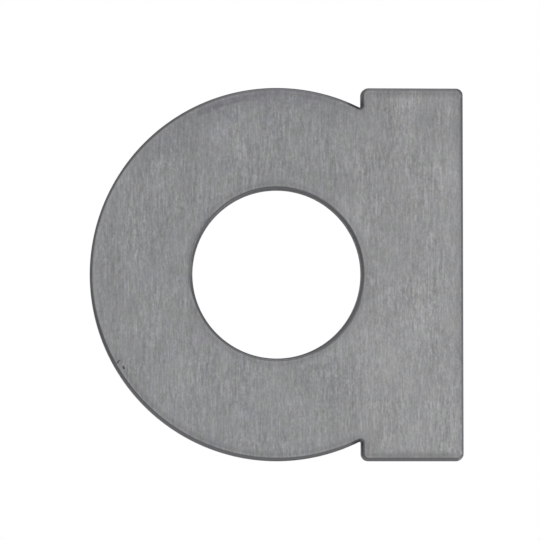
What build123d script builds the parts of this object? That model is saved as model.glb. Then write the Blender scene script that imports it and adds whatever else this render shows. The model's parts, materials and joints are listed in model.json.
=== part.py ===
from build123d import *
import os
from math import radians, tan

# A house letter: a lower-case "a" cut from thick steel plate, with a round bowl, a straight stem
# and a round counter. It is one piece, and it is fixed from behind on two wall studs.
# Millimetres. Seen from the front, +X is right and +Z is up. The back face lies in the plane Y = 0,
# against the wall, and the front face looks along -Y. The origin is the bowl's centre on the back face.
# The letter's outline holds in the plane of the front face. Behind it the cut walls lean outwards a little.

# Driving dimensions of the letter
letter_height = 110.0  # the bowl's diameter and the stem's length
stroke_width = 30.0  # width of the ring round the counter, and of the stem
plate_thickness = 5.0
stem_corner_radius = 2.0  # the stem's four outer corners, seen from the front
notch_radius = 0.5  # bottom of the two notches between bowl and stem
wall_draft = 2.0  # degrees, the lean that the cut leaves on every wall
front_edge_radius = 1.0  # ground, rounded edge of the front face
back_edge_chamfer = 0.2  # deburred edge of the back face

# Driving dimensions of the blind M4 holes in the back
tap_drill_diameter = 3.3
drill_point_angle = 118.0
front_skin = 1.0  # metal left between the drill's point and the front face
hole_mouth_chamfer = 0.4

# The bowl is as wide as the letter is high, and the stem fills its right side to the same width
bowl_radius = letter_height / 2
counter_radius = bowl_radius - stroke_width
stem_left = bowl_radius - stroke_width
stroke_centre = bowl_radius - stroke_width / 2

# Each hole is drilled as deep as the plate allows
tap_drill_radius = tap_drill_diameter / 2
drill_point_length = tap_drill_radius / tan(radians(drill_point_angle / 2))
drilled_depth = plate_thickness - front_skin - drill_point_length


def letter_outline():
    """The letter seen from the front: a disc cut off inside the stem, joined to the stem."""
    disc_width = bowl_radius + stroke_centre
    disc_limits = Pos((stroke_centre - bowl_radius) / 2, 0) * Rectangle(disc_width, letter_height)
    bowl = Circle(bowl_radius) & disc_limits
    stem = Pos(stroke_centre, 0) * Rectangle(stroke_width, letter_height)
    outline = bowl + stem

    def is_stem_corner(vertex):
        return abs(abs(vertex.Y) - bowl_radius) < 1e-6

    outline = fillet(outline.vertices().filter_by(is_stem_corner), stem_corner_radius)
    return fillet(notch_corners(outline), notch_radius)


def notch_corners(outline):
    """The two points where the bowl's circle runs into the stem's left side."""

    def is_notch(vertex):
        on_bowl = abs(Vector(vertex.X, vertex.Y).length - bowl_radius) < 1e-6
        return on_bowl and abs(vertex.X - stem_left) < 1e-6

    return outline.vertices().filter_by(is_notch)


def plate():
    """The cut plate with its counter, its leaning walls, rounded front edges and deburred back edges."""
    face = letter_outline() - Circle(counter_radius)
    blank = extrude(Plane.XZ * face, plate_thickness)
    walls = blank.faces().filter_by(Axis.Y, reverse=True)
    leaning = draft(walls, Plane.XZ.offset(plate_thickness), wall_draft)
    front = leaning.faces().sort_by(Axis.Y)[0]
    rounded = fillet(front.edges(), front_edge_radius)
    back = rounded.faces().sort_by(Axis.Y)[-1]
    return chamfer(back.edges(), back_edge_chamfer)


def stud_hole():
    """One blind hole as a solid, drilled along -Y from the back face, with its drill point."""
    mouth_radius = tap_drill_radius + hole_mouth_chamfer
    profile = Polyline(
        (0, 0),
        (mouth_radius, 0),
        (tap_drill_radius, -hole_mouth_chamfer),
        (tap_drill_radius, -drilled_depth),
        (0, -drilled_depth - drill_point_length),
        close=True,
    )
    return revolve(make_face(profile), Axis.Y)


def letter():
    """The finished letter, with a stud hole on the middle of the ring and one on the stem."""
    body = plate()
    for side in (-1, 1):
        body -= Pos(side * stroke_centre, 0, 0) * stud_hole()
    return body


os.makedirs("parts", exist_ok=True)
export_step(letter(), "parts/letter.step")
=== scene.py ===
import json
import math

import bmesh
import bpy
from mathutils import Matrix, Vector


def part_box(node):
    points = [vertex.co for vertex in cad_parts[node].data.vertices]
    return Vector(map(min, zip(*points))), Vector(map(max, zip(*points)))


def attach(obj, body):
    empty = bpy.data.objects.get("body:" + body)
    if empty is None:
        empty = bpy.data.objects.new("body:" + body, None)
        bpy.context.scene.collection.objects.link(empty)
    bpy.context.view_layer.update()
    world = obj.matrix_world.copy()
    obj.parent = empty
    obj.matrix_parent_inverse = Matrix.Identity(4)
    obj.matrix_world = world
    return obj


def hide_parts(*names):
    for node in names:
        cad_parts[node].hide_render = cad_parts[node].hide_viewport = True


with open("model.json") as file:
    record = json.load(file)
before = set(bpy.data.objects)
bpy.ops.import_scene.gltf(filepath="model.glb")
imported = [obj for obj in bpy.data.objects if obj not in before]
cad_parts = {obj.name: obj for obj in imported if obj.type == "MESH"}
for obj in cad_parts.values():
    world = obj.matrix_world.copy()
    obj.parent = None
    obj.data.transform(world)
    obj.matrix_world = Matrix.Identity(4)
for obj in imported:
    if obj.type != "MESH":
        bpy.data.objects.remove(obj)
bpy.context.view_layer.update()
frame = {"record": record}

plateLow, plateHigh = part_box("letter")
frontY, backY = plateLow.y, plateHigh.y
studHoles = next(m for m in frame["record"]["mounts"] if m["name"] == "stud_holes")
nearly = 1e-6  # metres
wallTilt = 0.5  # a face is a side wall where less of its normal than this lies along y
print("frame loaded, letter", [round(v * 1000, 1) for v in plateHigh - plateLow], "mm")


# the letter's plate, modelled as its upper half and mirrored
letterPlate = {
    "strokeWidth": 0.030,  # ring and stem alike, on the front face
    "cornerRadius": 0.002,
    "notchRadius": 0.0005,
    "wallLean": 2.0,  # degrees, outwards from the front face to the back
    "edgeRadius": 0.001,  # rounded front edge
    "backChamfer": 0.0002,
    "bowlSteps": 150,  # over half the bowl
    "counterSteps": 96,
    "cornerSteps": 8,
    "notchSteps": 10,
    "edgeSegments": 10,
    "sharpDegrees": 35,  # edges that turn more than this stay sharp in the shading
}
leanSlope = math.tan(math.radians(letterPlate["wallLean"]))
wallDepth = backY - letterPlate["backChamfer"] - frontY  # from the front face to the widest place
# the bowl's radius on the front face is also half the stem's length
bowlRadius = (plateHigh.z - plateLow.z) / 2 - leanSlope * wallDepth
stemLeft = bowlRadius - letterPlate["strokeWidth"]
counterRadius = bowlRadius - letterPlate["strokeWidth"]
notchX = stemLeft - letterPlate["notchRadius"]  # the notch's arc touches bowl and stem
notchZ = math.sqrt((bowlRadius + letterPlate["notchRadius"]) ** 2 - notchX**2)


def lineTo(bm, vert, x, z):
    grown = bmesh.ops.extrude_vert_indiv(bm, verts=[vert])["verts"][0]
    grown.co = (x, vert.co.y, z)
    return grown


def arcFrom(bm, vert, x, z, degrees, steps):  # clockwise seen from the front
    spun = bmesh.ops.spin(
        bm, geom=[vert], cent=(x, vert.co.y, z), axis=(0, 1, 0), angle=math.radians(degrees), steps=steps
    )
    return next(g for g in spun["geom_last"] if isinstance(g, bmesh.types.BMVert))


def drawHalfOutline(bm, shape):
    corner = shape["cornerRadius"]
    notchAngle = math.degrees(math.atan2(notchZ, notchX))
    first = bm.verts.new((-bowlRadius, frontY, 0))
    vert = arcFrom(bm, first, 0, 0, 180 - notchAngle, shape["bowlSteps"])
    vert = arcFrom(bm, vert, notchX, notchZ, notchAngle - 180, shape["notchSteps"])
    vert = lineTo(bm, vert, stemLeft, bowlRadius - corner)
    vert = arcFrom(bm, vert, stemLeft + corner, bowlRadius - corner, 90, shape["cornerSteps"])
    vert = lineTo(bm, vert, bowlRadius - corner, bowlRadius)
    vert = arcFrom(bm, vert, bowlRadius - corner, bowlRadius - corner, 90, shape["cornerSteps"])
    vert = lineTo(bm, vert, bowlRadius, 0)
    vert = lineTo(bm, vert, counterRadius, 0)
    vert = arcFrom(bm, vert, 0, 0, -180, shape["counterSteps"])
    bm.edges.new((vert, first))
    bmesh.ops.edgeloop_fill(bm, edges=bm.edges[:])


def rimEdges(bm, y):  # edges between a flat face at this depth and the side walls
    def isRim(edge):
        level = all(abs(v.co.y - y) < nearly for v in edge.verts)
        return level and any(abs(f.normal.y) < wallTilt for f in edge.link_faces)

    return [edge for edge in bm.edges if isRim(edge)]


def bevelRim(bm, y, size, segments):
    bmesh.ops.bevel(
        bm, geom=rimEdges(bm, y), offset=size, offset_type="OFFSET", segments=segments,
        profile=0.5, affect="EDGES", material=-1, clamp_overlap=False,
    )


def leanWalls(bm):
    for vert in bm.verts:
        walls = [f.normal for f in vert.link_faces if abs(f.normal.y) < wallTilt]
        outward = sum(walls, Vector()).normalized()
        vert.co += outward * leanSlope * (vert.co.y - frontY)


def meshObject(name, bm):
    mesh = bpy.data.meshes.new(name)
    bm.to_mesh(mesh)
    bm.free()
    piece = bpy.data.objects.new(name, mesh)
    bpy.context.scene.collection.objects.link(piece)
    return piece


def makeLetterPlate(shape):
    bm = bmesh.new()
    drawHalfOutline(bm, shape)
    grown = bmesh.ops.extrude_face_region(bm, geom=bm.faces[:])["geom"]
    moved = [g for g in grown if isinstance(g, bmesh.types.BMVert)]
    bmesh.ops.translate(bm, verts=moved, vec=(0, backY - frontY, 0))
    seam = [f for f in bm.faces if all(abs(v.co.z) < nearly for v in f.verts)]
    bmesh.ops.delete(bm, geom=seam, context="FACES")
    bmesh.ops.mirror(bm, geom=bm.verts[:] + bm.edges[:] + bm.faces[:], axis="Z", merge_dist=nearly)
    bmesh.ops.remove_doubles(bm, verts=bm.verts[:], dist=nearly)
    bmesh.ops.recalc_face_normals(bm, faces=bm.faces[:])
    leanWalls(bm)
    tangent = shape["edgeRadius"] * math.tan(math.radians(45 - shape["wallLean"] / 2))
    bevelRim(bm, frontY, tangent, shape["edgeSegments"])
    bevelRim(bm, backY, shape["backChamfer"], 1)
    return meshObject("letterPlate", bm)


letter = makeLetterPlate(letterPlate)
print("letter plate modelled,", len(letter.data.polygons), "faces")


# blind M4 holes in the back, drilled and tapped
tappedHole = {
    "frontSkin": 0.001,  # steel left in front of the drill's point
    "pointDegrees": 118,
    "mouthChamfer": 0.0004,
    "threadRadius": 0.002,
    "pitch": 0.0007,
    "crestShare": 1 / 16,  # half of the flat at the groove's bottom, as a share of the pitch
    "flankDegrees": 30,
    "coreOverlap": 0.0001,  # the thread's cutter starts this far inside the drilled wall
    "overshoot": 0.0005,  # and both cutters end this far behind the back face
    "steps": 48,  # in one turn
}
drillRadius = studHoles["dims"]["hole_r_mm"] / 1000
holeSpacing = studHoles["dims"]["spacing_x_mm"] / 1000
pointLength = drillRadius / math.tan(math.radians(tappedHole["pointDegrees"] / 2))
shoulderY = frontY + tappedHole["frontSkin"] + pointLength


def drillCutter(hole, x):
    bm = bmesh.new()
    vert = bm.verts.new((x, shoulderY - pointLength, 0))  # the drill's tip
    flare = hole["mouthChamfer"] + hole["overshoot"]
    for radius, y in (
        (drillRadius, shoulderY),
        (drillRadius, backY - hole["mouthChamfer"]),
        (drillRadius + flare, backY + hole["overshoot"]),
        (0, backY + hole["overshoot"]),
    ):
        vert = bmesh.ops.extrude_vert_indiv(bm, verts=[vert])["verts"][0]
        vert.co = (x + radius, y, 0)
    bmesh.ops.spin(
        bm, geom=bm.verts[:] + bm.edges[:], cent=(x, 0, 0), axis=(0, 1, 0),
        angle=math.tau, steps=hole["steps"], use_merge=True,
    )
    bmesh.ops.remove_doubles(bm, verts=bm.verts[:], dist=nearly)
    bmesh.ops.recalc_face_normals(bm, faces=bm.faces[:])
    return meshObject("drillCutter", bm)


def threadCutter(hole, x):
    inner, outer = drillRadius - hole["coreOverlap"], hole["threadRadius"]
    crest = hole["pitch"] * hole["crestShare"]
    mouth = crest + (outer - inner) * math.tan(math.radians(hole["flankDegrees"]))
    startY = shoulderY + mouth
    turns = (backY + hole["overshoot"] - startY) / hole["pitch"]
    steps = round(turns * hole["steps"])
    bm = bmesh.new()
    groove = [(inner, -mouth), (outer, -crest), (outer, crest), (inner, mouth)]
    bm.faces.new([bm.verts.new((x + radius, startY + y, 0)) for radius, y in groove])
    bmesh.ops.spin(
        bm, geom=bm.verts[:] + bm.edges[:] + bm.faces[:], cent=(x, 0, 0), axis=(0, 1, 0),
        dvec=(0, hole["pitch"] * turns / steps, 0), angle=math.tau * turns, steps=steps,
    )
    bmesh.ops.recalc_face_normals(bm, faces=bm.faces[:])
    return meshObject("threadCutter", bm)


# two small pits near the lower left rim, each a row of round dents
pits = {
    "dents": [  # place across and up, radius, depth
        (-0.04634, -0.02566, 0.00020, 0.00008),
        (-0.04656, -0.02576, 0.00024, 0.00009),
        (-0.04675, -0.02600, 0.00029, 0.00011),
        (-0.04684, -0.02630, 0.00029, 0.00011),
        (-0.04521, -0.02752, 0.00029, 0.00012),
        (-0.04510, -0.02772, 0.00033, 0.00014),
        (-0.04499, -0.02792, 0.00031, 0.00012),
    ],
    "subdivisions": 2,
    "middle": (-0.0459, 0, -0.0268),
    "reach": 0.0020,  # all dents lie within this distance of the middle
    "paintedShade": {"from": (0.00001, 0.00012), "to": (0.0, 0.75)},  # painted shade, darker with the depth below the face
    "insideRim": 0.00115,  # the painted shade lies only further inside the rim than this
    "facing": 0.01,  # and where the steel faces forwards more than this
}


def pitCutter(x, z, radius, depth):
    bm = bmesh.new()
    bmesh.ops.create_icosphere(bm, subdivisions=pits["subdivisions"], radius=radius)
    bmesh.ops.scale(bm, verts=bm.verts[:], vec=(1, depth / radius, 1))
    bmesh.ops.translate(bm, verts=bm.verts[:], vec=(x, frontY, z))
    return meshObject("pitCutter", bm)


def cutAway(piece, cutters):
    for cutter in cutters:
        cut = piece.modifiers.new(cutter.name, "BOOLEAN")
        cut.object, cut.operation, cut.solver = cutter, "DIFFERENCE", "EXACT"
    shaped = piece.evaluated_get(bpy.context.evaluated_depsgraph_get())
    piece.data = bpy.data.meshes.new_from_object(shaped)
    piece.modifiers.clear()
    for cutter in cutters:
        bpy.data.objects.remove(cutter)


def clearSlivers(piece):  # the cuts leave a few edges of almost no length
    bm = bmesh.new()
    bm.from_mesh(piece.data)
    bmesh.ops.dissolve_degenerate(bm, dist=nearly, edges=bm.edges[:])
    bm.to_mesh(piece.data)
    bm.free()


holeCentres = [-holeSpacing / 2, holeSpacing / 2]
cutAway(letter, [drillCutter(tappedHole, x) for x in holeCentres])
cutAway(letter, [threadCutter(tappedHole, x) for x in holeCentres])
cutAway(letter, [pitCutter(*dent) for dent in pits["dents"]])
clearSlivers(letter)
print("holes tapped and pits cut,", len(letter.data.polygons), "faces")


# small helpers for the materials
def addNode(tree, kind, **settings):
    node = tree.nodes.new(kind)
    for name, value in settings.items():
        setattr(node, name, value)
    return node


def feed(tree, value, socket):  # a link, or a plain value on the socket
    if isinstance(value, bpy.types.NodeSocket):
        tree.links.new(value, socket)
    else:
        socket.default_value = value


def calc(tree, operation, *values):
    node = addNode(tree, "ShaderNodeMath", operation=operation)
    for value, socket in zip(values, node.inputs):
        feed(tree, value, socket)
    return node.outputs[0]


def remap(tree, value, fromLow, fromHigh, toLow, toHigh, blend="SMOOTHSTEP"):
    node = addNode(tree, "ShaderNodeMapRange", interpolation_type=blend)
    for given, socket in zip((value, fromLow, fromHigh, toLow, toHigh), node.inputs):
        feed(tree, given, socket)
    return node.outputs[0]


def ranged(tree, value, span, blend="SMOOTHSTEP"):  # with the ranges that a dictionary gives
    return remap(tree, value, *span["from"], *span["to"], blend)


def between(tree, factor, first, second):  # the first value where the factor is 0, the second where it is 1
    return remap(tree, factor, 0.0, 1.0, first, second, "LINEAR")


def mixColour(tree, factor, first, second, blend="MIX"):
    node = addNode(tree, "ShaderNodeMix", data_type="RGBA", blend_type=blend)
    feed(tree, factor, node.inputs[0])
    feed(tree, first, node.inputs[6])
    feed(tree, second, node.inputs[7])
    return node.outputs[2]


def stretchedNoise(tree, place, noise):  # its grain is one cell's size along x, y and z
    shift = noise.get("shift", 0.0)
    mapping = addNode(tree, "ShaderNodeMapping")
    mapping.inputs["Location"].default_value = (shift, shift, shift)
    mapping.inputs["Scale"].default_value = [1 / size for size in noise["grain"]]
    tree.links.new(place, mapping.inputs["Vector"])
    node = addNode(tree, "ShaderNodeTexNoise", noise_dimensions="3D")
    tree.links.new(mapping.outputs["Vector"], node.inputs["Vector"])
    node.inputs["Scale"].default_value = 1.0
    node.inputs["Detail"].default_value = noise.get("detail", 2.0)
    return node.outputs["Fac"]


def splitPlace(tree, vector):
    split = addNode(tree, "ShaderNodeSeparateXYZ")
    tree.links.new(vector, split.inputs[0])
    return split.outputs


def flatVector(tree, operation, place, *values):  # vector maths in the plane of the face
    flat = addNode(tree, "ShaderNodeVectorMath", operation="MULTIPLY")
    tree.links.new(place, flat.inputs[0])
    flat.inputs[1].default_value = (1, 0, 1)
    node = addNode(tree, "ShaderNodeVectorMath", operation=operation)
    for value, socket in zip((flat.outputs[0], *values), node.inputs):
        feed(tree, value, socket)
    return node.outputs


def lean(tree, place, degrees):  # cosine of the angle between a point of the face and this direction
    unit = flatVector(tree, "NORMALIZE", place)[0]
    towards = (math.cos(math.radians(degrees)), 0, math.sin(math.radians(degrees)))
    return flatVector(tree, "DOT_PRODUCT", unit, towards)["Value"]


def sector(tree, place, zone, blend="SMOOTHSTEP"):  # a value that changes towards the zone's direction
    return ranged(tree, lean(tree, place, zone["degrees"]), zone, blend)


# brushed steel: noises have a grain in metres, sectors a direction in degrees and a range of its cosine
brushedPlate = {
    "coolColour": (0.2330, 0.2350, 0.2460, 1),  # two faint tints of the brushed face
    "warmColour": (0.2280, 0.2350, 0.2308, 1),
    "greenShade": (0.985, 1, 1, 1),  # and a fainter shading of both
    "rosyShade": (1.015, 1, 1, 1),
    # painted shade on the rounded edge, in place of its dark reflections
    "paintedEdgeShade": (0.1150, 0.1160, 0.1232, 1),
    "wallColour": (0.2100, 0.2110, 0.2240, 1),
    "backColour": (0.2200, 0.2230, 0.2270, 1),
    # painted shade in the notch corners and on the pit floors
    "paintedShadeColour": (0.0380, 0.0380, 0.0400, 1),
    "smudgeColour": (0.1400, 0.1385, 0.1570, 1),
    "edgeTint": (0.3, 0.3, 0.3, 1),  # of reflections at a low angle
    "anisotropic": 0.6,
    "roughness": {"from": (-0.5, 0.5), "to": (0.42, 0.30), "walls": 0.22},  # smoother in the light streaks
    "bump": {"strength": 0.25, "distance": 0.00002},
    # the brushing
    "streaks": [
        {"grain": (0.00045, 0.002, 0.0007), "weight": 0.9},
        {"grain": (0.00047, 0.002, 0.0023), "weight": 1.0},
        {"grain": (0.00056, 0.002, 0.0075), "weight": 0.55},
    ],
    "streakSkew": 0.45,  # makes the light streaks stronger than the dark ones
    "streakSwing": 0.74,
    "scratch": {"grain": (0.00045, 0.003, 0.0090), "from": (0.56, 0.78), "to": (0.0, 0.22)},
    "patch": {"grain": (0.007, 0.010, 0.009), "from": (0.35, 0.65), "to": (0.82, 1.18)},
    "brushFade": {"from": (0.001, 0.004), "to": (0.78, 1.0)},  # the brushing is fainter along the rims
    # the tone of the face
    "faceBase": 0.74,
    "broad": [  # bands and clouds
        {"grain": (0.006, 0.020, 0.045), "weight": 0.26},
        {"grain": (0.014, 0.018, 0.018), "detail": 3.0, "shift": 7.7, "weight": 0.26},
    ],
    "stemwardLight": {"from": (-0.020, 0.030), "to": (0.995, 1.035)},  # painted light, a little lighter towards the stem
    "shadeAndLightSpots": [  # broad spots of painted shade, and one of painted light, on the face
        {"place": (0.0165, 0, 0.0262), "reach": 0.0110, "gain": 0.87},
        {"place": (0.0070, 0, -0.0290), "reach": 0.0100, "gain": 0.89},
        {"place": (0.0490, 0, 0.0440), "reach": 0.0120, "gain": 0.90},
        {"place": (-0.0390, 0, -0.0150), "reach": 0.0100, "gain": 1.09},
    ],
    # its faint mottling, a little warmer on the stem
    "tint": {
        "grain": (0.0030, 0.004, 0.0036), "detail": 1.0, "from": (0.3, 0.7), "to": (0.0, 1.0), "onStem": 0.12
    },
    "shade": {
        "grain": (0.0027, 0.005, 0.0031), "detail": 1.0, "from": (0.3, 0.7), "to": (0.0, 1.0), "onStem": 0.38
    },
    "warmStem": {"from": (0.012, 0.028), "to": (0.0, 1.0)},
    # where a point lies to the rims
    "rimBlend": 0.010,  # how softly the rims of bowl and stem pass into each other
    "ontoStem": {"from": (stemLeft + 0.002, stemLeft + 0.005), "to": (0.0, 1.0)},
    "stemRight": {"from": (-0.001, 0.003), "to": (0.0, 1.0)},  # nearer to its right side than to its ends
    "bowlLeft": {"degrees": 155, "from": (0.45, 0.85), "to": (0.0, 1.0)},
    "counterLeft": {"degrees": 165, "from": (0.80, 0.96), "to": (0.0, 1.0)},
    "counterLeftmost": {"degrees": 180, "from": (0.93, 0.985), "to": (0.75, 1.0)},
    # along the rims, by the distance inside them: a shade, a light lip of painted highlight, lines of painted
    # shade and a dark line of painted shade
    "rimShade": {
        "reach": (0.0014, 0.0032), "bowl": 0.165, "left": 0.0, "stem": 0.24, "right": 0.04, "counter": 0.13
    },
    # painted highlight just inside the rims
    "lipHighlight": {"inside": 0.00115, "width": 0.0005, "gain": 0.13, "weakGain": 0.065},
    "plainRight": (0.45, 0.72),  # shade and the painted highlight lip fade as a rim turns to look right
    # painted shade lines: where a rim looks right, and at the counter's lower right
    "rightShadeLine": {"reach": (0.0008, 0.0014), "turn": (0.45, 0.80), "right": 0.26, "counter": 0.34},
    "lowShadeLine": {"reach": (0.0010, 0.00145), "degrees": -40, "from": (0.85, 0.97), "to": (0.0, 0.34)},
    "edgeShadeLine": {"width": 0.0005, "turn": (0.75, 1.0)},  # painted shade in the rounding, where a rim looks right
    "edgeShadeInside": (0.00056, 0.0007),  # at the stem's right side and at the counter
    "edgeShadeTone": (0.58, 0.50),
    # where the face ends: the rounded edge starts at a slope, wall and back by how far they face forwards
    "bowlEdge": {"degrees": 170, "from": (0.88, 0.98), "to": (0.15, 0.30)},
    "counterEdge": {"degrees": 60, "from": (0.90, 0.98), "to": (0.15, 0.32)},
    "edgeSpread": 0.10,
    "wallFacing": {"from": (0.05, 0.40), "to": (1.0, 0.0)},
    "backFacing": {"from": (-0.9, -0.98), "to": (0.0, 1.0)},
    # cut lines on the walls, rolled lines and clouds on the back
    "cutLine": {"grain": (0.0003, 0.010, 0.0003), "from": (0.2, 0.8), "to": (0.78, 1.22)},
    "rolledLine": {"grain": (0.0005, 0.004, 0.030), "weight": 0.5},
    "backCloud": {"grain": (0.014, 0.018, 0.018), "detail": 4.0},
    "backTone": {"from": (0.35, 1.15), "to": (0.84, 1.16)},
    # smudges along the top of the bowl: direction, reach either way, middle and half-width inside the rim
    "smudges": [
        {"degrees": 107, "reach": 15, "inside": 0.0024, "width": 0.0014, "depth": 0.44},
        {"degrees": 100, "reach": 50, "inside": 0.0018, "width": 0.0090, "depth": 0.32},
    ],
    "smudgeEnds": (1.0, 0.2),  # shares of the reach between which a smudge grows to its depth
    "smudgeBreak": {"grain": (0.0011, 0.003, 0.0009), "from": (0.3, 0.7), "to": (0.4, 1.5)},
    # painted shade in the upper and the lower notch: place over to the bowl, height, reach, depth
    "notchShadeSpots": [
        {"over": 0.0014, "height": notchZ, "reach": (0.0011, 0.0032), "depth": 0.90},
        {"over": 0.0010, "height": -notchZ, "reach": (0.0007, 0.0024), "depth": 0.66},
    ],
    "notchShadeFacing": {"from": (0.0, 0.4), "to": (0.4, 1.0)},  # weaker on the walls
}


def measureRims(tree, place, finish):  # how a point of the face lies to the rims of bowl, stem and counter
    parts = splitPlace(tree, place)
    x, height = parts["X"], calc(tree, "ABSOLUTE", parts["Z"])
    radius = flatVector(tree, "LENGTH", place)["Value"]
    bowl = calc(tree, "SUBTRACT", bowlRadius, radius)
    sides = calc(tree, "MINIMUM", calc(tree, "SUBTRACT", x, stemLeft), calc(tree, "SUBTRACT", bowlRadius, x))
    stem = calc(tree, "MINIMUM", sides, calc(tree, "SUBTRACT", bowlRadius, height))
    leftOfStem = calc(tree, "MINIMUM", bowl, calc(tree, "SUBTRACT", (stemLeft + bowlRadius) / 2, x))
    outside = calc(tree, "SMOOTH_MAX", stem, leftOfStem, finish["rimBlend"])
    counter = calc(tree, "SUBTRACT", radius, counterRadius)
    atCounter = calc(tree, "LESS_THAN", counter, outside)
    atRight = ranged(tree, calc(tree, "SUBTRACT", x, height), finish["stemRight"])
    counterLeft = sector(tree, place, finish["counterLeft"], "LINEAR")
    counterLeftmost = sector(tree, place, finish["counterLeftmost"], "LINEAR")
    return {
        "bowl": bowl,
        "nearest": calc(tree, "MINIMUM", outside, counter),
        "atCounter": atCounter,
        "rightwards": between(tree, atCounter, atRight, counterLeft),
        "rightmost": between(tree, atCounter, atRight, counterLeftmost),
    }


def besideRim(tree, rims, inside, width, onLine, away):  # a line that follows the rims
    beside = calc(tree, "ABSOLUTE", calc(tree, "SUBTRACT", rims["nearest"], inside))
    return remap(tree, beside, 0.0, width, onLine, away)


def brushStreaks(tree, place, finish):  # about -1 to 1
    total = 0.0
    for streak in finish["streaks"]:
        total = calc(tree, "MULTIPLY_ADD", stretchedNoise(tree, place, streak), streak["weight"], total)
    middle = sum(streak["weight"] for streak in finish["streaks"]) / 2
    swing = calc(tree, "SUBTRACT", total, middle)
    return calc(tree, "MULTIPLY_ADD", calc(tree, "POWER", swing, 2.0), finish["streakSkew"], swing)


def smudgeMarks(tree, place, bowl, finish):
    total = 0.0
    for mark in finish["smudges"]:
        ends = [math.cos(math.radians(mark["reach"] * share)) for share in finish["smudgeEnds"]]
        along = remap(tree, lean(tree, place, mark["degrees"]), *ends, 0.0, mark["depth"])
        beside = calc(tree, "ABSOLUTE", calc(tree, "SUBTRACT", bowl, mark["inside"]))
        total = calc(tree, "MULTIPLY_ADD", along, remap(tree, beside, 0.0, mark["width"], 1.0, 0.0), total)
    broken = ranged(tree, stretchedNoise(tree, place, finish["smudgeBreak"]), finish["smudgeBreak"], "LINEAR")
    return calc(tree, "MULTIPLY", total, broken)


# painted shade in the corners of the notches
def notchShadeMarks(tree, place, spots):
    total = 0.0
    for spot in spots:
        away = flatVector(tree, "DISTANCE", place, (notchX - spot["over"], 0, spot["height"]))["Value"]
        total = calc(tree, "ADD", remap(tree, away, *spot["reach"], spot["depth"], 0.0), total)
    return total


# painted shade on the pit floors, darker with depth
def pitFloorShade(tree, place, rims, facing):
    sunk = ranged(tree, calc(tree, "SUBTRACT", splitPlace(tree, place)["Y"], frontY), pits["paintedShade"])
    fromMiddle = flatVector(tree, "DISTANCE", place, pits["middle"])["Value"]
    for condition in (
        calc(tree, "GREATER_THAN", rims["nearest"], pits["insideRim"]),
        calc(tree, "LESS_THAN", fromMiddle, pits["reach"]),
        calc(tree, "GREATER_THAN", facing, pits["facing"]),
    ):
        sunk = calc(tree, "MULTIPLY", sunk, condition)
    return sunk


def rimTone(tree, place, rims, finish):
    shade, lipHighlight = finish["rimShade"], finish["lipHighlight"]
    rightShadeLine, lowShadeLine = finish["rightShadeLine"], finish["lowShadeLine"]
    leftwards = sector(tree, place, finish["bowlLeft"])
    onStem = ranged(tree, splitPlace(tree, place)["X"], finish["ontoStem"])

    # darker towards the rims
    depth = between(tree, leftwards, shade["bowl"], shade["left"])
    depth = between(tree, onStem, depth, shade["stem"])
    depth = remap(tree, rims["rightwards"], *finish["plainRight"], depth, shade["right"])
    depth = between(tree, rims["atCounter"], depth, shade["counter"])
    tone = calc(tree, "SUBTRACT", 1.0, remap(tree, rims["nearest"], *shade["reach"], depth, 0.0))

    # a light lip of painted highlight where the rounding starts
    gain = between(tree, leftwards, lipHighlight["gain"], lipHighlight["weakGain"])
    gain = between(tree, calc(tree, "MAXIMUM", rims["atCounter"], onStem), gain, lipHighlight["weakGain"])
    gain = remap(tree, rims["rightwards"], *finish["plainRight"], gain, 0.0)
    tone = calc(tree, "ADD", tone, besideRim(tree, rims, lipHighlight["inside"], lipHighlight["width"], gain, 0.0))

    # lines of painted shade where a rim looks right, and at the counter's lower right
    rightShade = between(tree, rims["atCounter"], rightShadeLine["right"], rightShadeLine["counter"])
    rightShade = remap(tree, rims["rightwards"], *rightShadeLine["turn"], 0.0, rightShade)
    tone = calc(tree, "SUBTRACT", tone, remap(tree, rims["nearest"], *rightShadeLine["reach"], rightShade, 0.0))
    lowShade = calc(tree, "MULTIPLY", sector(tree, place, lowShadeLine), rims["atCounter"])
    return calc(tree, "SUBTRACT", tone, remap(tree, rims["nearest"], *lowShadeLine["reach"], lowShade, 0.0))


def faceTone(tree, place, streak, rims, finish):  # brightness over the flat of the face
    patch = ranged(tree, stretchedNoise(tree, place, finish["patch"]), finish["patch"])
    strength = calc(tree, "MULTIPLY", ranged(tree, rims["nearest"], finish["brushFade"]), patch)
    scratch = ranged(tree, stretchedNoise(tree, place, finish["scratch"]), finish["scratch"])
    swing = calc(tree, "MULTIPLY_ADD", streak, finish["streakSwing"], scratch)
    tone = calc(tree, "MULTIPLY_ADD", swing, strength, finish["faceBase"])
    for noise in finish["broad"]:
        tone = calc(tree, "MULTIPLY_ADD", stretchedNoise(tree, place, noise), noise["weight"], tone)
    # painted light, lighter towards the stem
    stemwardLight = ranged(tree, splitPlace(tree, place)["X"], finish["stemwardLight"], "LINEAR")
    tone = calc(tree, "MULTIPLY", tone, stemwardLight)
    # broad spots of painted shade and painted light
    for spot in finish["shadeAndLightSpots"]:
        away = flatVector(tree, "DISTANCE", place, spot["place"])["Value"]
        tone = calc(tree, "MULTIPLY", tone, remap(tree, away, 0.0, spot["reach"], spot["gain"], 1.0))
    return calc(tree, "MULTIPLY", tone, rimTone(tree, place, rims, finish))


def mottling(tree, place, noise, finish):  # 0 to 1, and further on the stem
    spread = ranged(tree, stretchedNoise(tree, place, noise), noise, "LINEAR")
    stemward = ranged(tree, splitPlace(tree, place)["X"], finish["warmStem"])
    return calc(tree, "MULTIPLY_ADD", stemward, noise["onStem"], spread)


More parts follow.
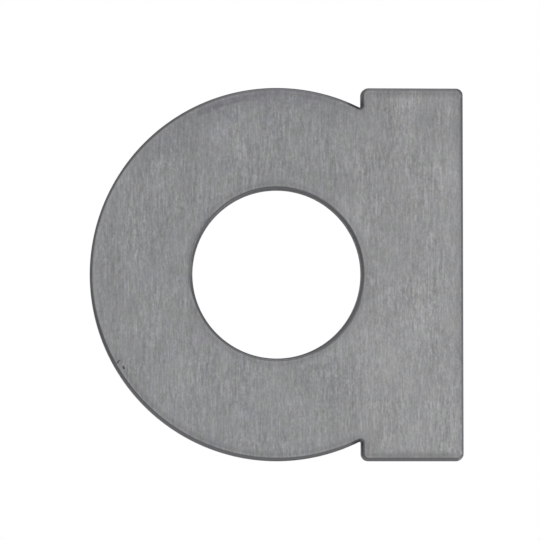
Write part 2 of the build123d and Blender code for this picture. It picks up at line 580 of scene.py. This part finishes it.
def paintFace(tree, place, streak, rims, finish):
    tint = mottling(tree, place, finish["tint"], finish)
    tinted = mixColour(tree, tint, finish["coolColour"], finish["warmColour"])
    shade = mottling(tree, place, finish["shade"], finish)
    shaded = mixColour(tree, shade, finish["greenShade"], finish["rosyShade"])
    face = mixColour(tree, 1.0, tinted, shaded, "MULTIPLY")
    face = mixColour(tree, 1.0, face, faceTone(tree, place, streak, rims, finish), "MULTIPLY")
    return mixColour(tree, smudgeMarks(tree, place, rims["bowl"], finish), face, finish["smudgeColour"])


# the rounded edge in painted shade, with a line of painted shade where a rim looks right
def paintEdgeShade(tree, rims, finish):
    line = finish["edgeShadeLine"]
    inside = between(tree, rims["atCounter"], *finish["edgeShadeInside"])
    tone = between(tree, rims["atCounter"], *finish["edgeShadeTone"])
    tone = remap(tree, rims["rightmost"], *line["turn"], 1.0, tone)
    shadedLine = besideRim(tree, rims, inside, line["width"], tone, 1.0)
    return mixColour(tree, 1.0, finish["paintedEdgeShade"], shadedLine, "MULTIPLY")


def paintWall(tree, place, finish):
    cutLines = ranged(tree, stretchedNoise(tree, place, finish["cutLine"]), finish["cutLine"], "LINEAR")
    return mixColour(tree, 1.0, finish["wallColour"], cutLines, "MULTIPLY")


def paintBack(tree, place, finish):
    line = finish["rolledLine"]
    clouds = stretchedNoise(tree, place, finish["backCloud"])
    rolled = calc(tree, "MULTIPLY_ADD", stretchedNoise(tree, place, line), line["weight"], clouds)
    tone = ranged(tree, rolled, finish["backTone"], "LINEAR")
    return mixColour(tree, 1.0, finish["backColour"], tone, "MULTIPLY")


def makeBrushedSteel(finish):
    material = bpy.data.materials.new("brushedSteel")
    material.use_nodes = True
    tree = material.node_tree
    shader = tree.nodes["Principled BSDF"]
    coords = addNode(tree, "ShaderNodeTexCoord")
    place = coords.outputs["Object"]
    backwards = splitPlace(tree, coords.outputs["Normal"])["Y"]
    facing = calc(tree, "MULTIPLY", backwards, -1.0)  # 1 on the front, 0 on the walls, -1 on the back
    slope = calc(tree, "SQRT", calc(tree, "SUBTRACT", 1.0, calc(tree, "POWER", facing, 2.0)))
    streak = brushStreaks(tree, place, finish)
    rims = measureRims(tree, place, finish)

    bowlEdge = sector(tree, place, finish["bowlEdge"])
    counterEdge = sector(tree, place, finish["counterEdge"])
    start = between(tree, rims["atCounter"], bowlEdge, counterEdge)
    end = calc(tree, "ADD", start, finish["edgeSpread"])
    rounded = remap(tree, slope, start, end, 0.0, 1.0, "LINEAR")
    walled = ranged(tree, facing, finish["wallFacing"])
    behind = ranged(tree, facing, finish["backFacing"])
    face = paintFace(tree, place, streak, rims, finish)
    colour = mixColour(tree, rounded, face, paintEdgeShade(tree, rims, finish))
    colour = mixColour(tree, walled, colour, paintWall(tree, place, finish))
    colour = mixColour(tree, behind, colour, paintBack(tree, place, finish))

    # painted shade in the notches and on the pit floors
    notchShadeMask = calc(tree, "MULTIPLY", notchShadeMarks(tree, place, finish["notchShadeSpots"]), rounded)
    notchShadeMask = calc(tree, "MULTIPLY", notchShadeMask, ranged(tree, facing, finish["notchShadeFacing"]))
    paintedShade = calc(tree, "MAXIMUM", pitFloorShade(tree, place, rims, facing), notchShadeMask)
    colour = mixColour(tree, paintedShade, colour, finish["paintedShadeColour"])
    tree.links.new(colour, shader.inputs["Base Color"])

    brushed = ranged(tree, streak, finish["roughness"], "LINEAR")
    roughness = calc(tree, "MULTIPLY_ADD", walled, finish["roughness"]["walls"], brushed)
    tree.links.new(roughness, shader.inputs["Roughness"])
    bump = addNode(tree, "ShaderNodeBump")
    bump.inputs["Strength"].default_value = finish["bump"]["strength"]
    bump.inputs["Distance"].default_value = finish["bump"]["distance"]
    tree.links.new(streak, bump.inputs["Height"])
    tree.links.new(bump.outputs["Normal"], shader.inputs["Normal"])
    shader.inputs["Metallic"].default_value = 1.0
    shader.inputs["Anisotropic"].default_value = finish["anisotropic"]
    shader.inputs["Specular Tint"].default_value = finish["edgeTint"]
    return material


letter.data.materials.append(makeBrushedSteel(brushedPlate))
letter.data.shade_smooth()
letter.data.set_sharp_from_angle(angle=math.radians(letterPlate["sharpDegrees"]))
letter.modifiers.new("flatFaces", "WEIGHTED_NORMAL").keep_sharp = True
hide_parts("letter")
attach(letter, "root")
print("brushed steel made")


# pale floor, white surroundings, soft lamps
studio = {
    "floorDrop": 0.075,  # the floor lies this far below the letter
    "floorHalf": 1.5,
    "floorColour": (0.82, 0.82, 0.82, 1),
    "floorRoughness": 0.8,
    "white": (1, 1, 1, 1),
    "roomLevel": 0.9,  # soft light from all round
    "lamps": [
        {
            "name": "sideLamp", "watts": 18.4, "size": (1.6, 0.32),
            "place": (2.0, -2.6, -0.06), "aim": (0, 0, 0),
        },
        {
            "name": "rightLamp", "watts": 5.0, "size": (1.2, 0.3),
            "place": (2.4, -0.30, 0.02), "aim": (0, 0, 0),
        },
        {
            "name": "topLamp", "watts": 0.43, "size": (0.24, 0.42),
            "place": (0.04, -0.20, 0.42), "aim": (0, 0, 0),
        },
        {
            "name": "lowLamp", "watts": 0.165, "size": (0.55, 0.21),
            "place": (0.05, 0.03, -0.126), "aim": (0.05, 0.03, 0),
        },
        {
            "name": "cornerLamp", "watts": 0.12, "size": (0.16, 0.2),
            "place": (0.16, 0.01, -0.125), "aim": (0.16, 0.01, 0),
        },
    ],
}


def makeFloor(values):
    bm = bmesh.new()
    bmesh.ops.create_grid(bm, x_segments=1, y_segments=1, size=values["floorHalf"])
    bmesh.ops.translate(bm, verts=bm.verts[:], vec=(0, 0, plateLow.z - values["floorDrop"]))
    floor = meshObject("studioFloor", bm)
    material = bpy.data.materials.new("paleFloor")
    material.use_nodes = True
    shader = material.node_tree.nodes["Principled BSDF"]
    shader.inputs["Base Color"].default_value = values["floorColour"]
    shader.inputs["Roughness"].default_value = values["floorRoughness"]
    floor.data.materials.append(material)


def makeWorld(values):
    world = bpy.data.worlds.new("studioWorld")
    bpy.context.scene.world = world
    world.use_nodes = True
    tree = world.node_tree
    room = tree.nodes["Background"]
    room.inputs["Color"].default_value = values["white"]
    room.inputs["Strength"].default_value = values["roomLevel"]
    backdrop = addNode(tree, "ShaderNodeBackground")  # plain white where it is seen or reflected
    backdrop.inputs["Color"].default_value = values["white"]
    path = addNode(tree, "ShaderNodeLightPath")
    seen = calc(tree, "MAXIMUM", path.outputs["Is Camera Ray"], path.outputs["Is Glossy Ray"])
    seen = calc(tree, "MAXIMUM", seen, path.outputs["Is Transmission Ray"])
    mix = addNode(tree, "ShaderNodeMixShader")
    tree.links.new(seen, mix.inputs[0])
    tree.links.new(room.outputs[0], mix.inputs[1])
    tree.links.new(backdrop.outputs[0], mix.inputs[2])
    tree.links.new(mix.outputs[0], tree.nodes["World Output"].inputs["Surface"])


def addLamp(lamp):
    light = bpy.data.lights.new(lamp["name"], "AREA")
    light.shape = "RECTANGLE"
    light.size, light.size_y = lamp["size"]
    light.energy = lamp["watts"]
    holder = bpy.data.objects.new(lamp["name"], light)
    holder.location = lamp["place"]
    holder.rotation_euler = (Vector(lamp["aim"]) - holder.location).to_track_quat("-Z", "Y").to_euler()
    holder.visible_camera = False  # only its light is seen
    bpy.context.scene.collection.objects.link(holder)


makeFloor(studio)
makeWorld(studio)
for lamp in studio["lamps"]:
    addLamp(lamp)
bpy.context.scene.view_settings.view_transform = "Standard"
print("floor, world and lamps set")


# camera, a little left of and below the letter's own axis
viewCamera = {
    "aim": (-0.002080, frontY, 0.001066),
    "slant": (-0.0366, -0.0573),  # sideways and upwards, per metre of distance
    "distance": 1.1828,
    "lens": 267.80,
    "sensor": 36.0,
}


def addCamera(values):
    back = Vector((values["slant"][0], -1, values["slant"][1])).normalized()
    camera = bpy.data.cameras.new("viewCamera")
    camera.lens = values["lens"]
    camera.sensor_width = values["sensor"]
    holder = bpy.data.objects.new("viewCamera", camera)
    holder.location = Vector(values["aim"]) + back * values["distance"]
    holder.rotation_euler = (-back).to_track_quat("-Z", "Y").to_euler()
    bpy.context.scene.collection.objects.link(holder)
    bpy.context.scene.camera = holder


addCamera(viewCamera)
print("camera placed")
